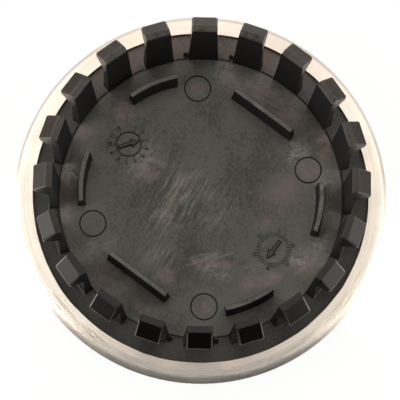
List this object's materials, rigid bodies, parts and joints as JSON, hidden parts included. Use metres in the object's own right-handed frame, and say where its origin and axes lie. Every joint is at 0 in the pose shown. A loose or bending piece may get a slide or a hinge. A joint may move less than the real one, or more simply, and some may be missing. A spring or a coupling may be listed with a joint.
{
  "type": "snap-in wheel centre cap",
  "caption": "Round one-piece cap with a ring of barbed snap clips on its back, pressed into a wheel's hub hole to cover it.",
  "frame": {"origin": "on the cap's axis, in the plane that the show face rests on", "axes": "+Z along the cap's axis, from the show face to the clips' tips; +Y through the middle of one clip"},
  "size_m": [0.083, 0.083, 0.027],
  "materials": {
    "cap_plastic": "black moulded plastic, with silver paint on the rim and the show face"
  },
  "bodies": {
    "root": {"cap": "cap_plastic"}
  },
  "joints": []
}
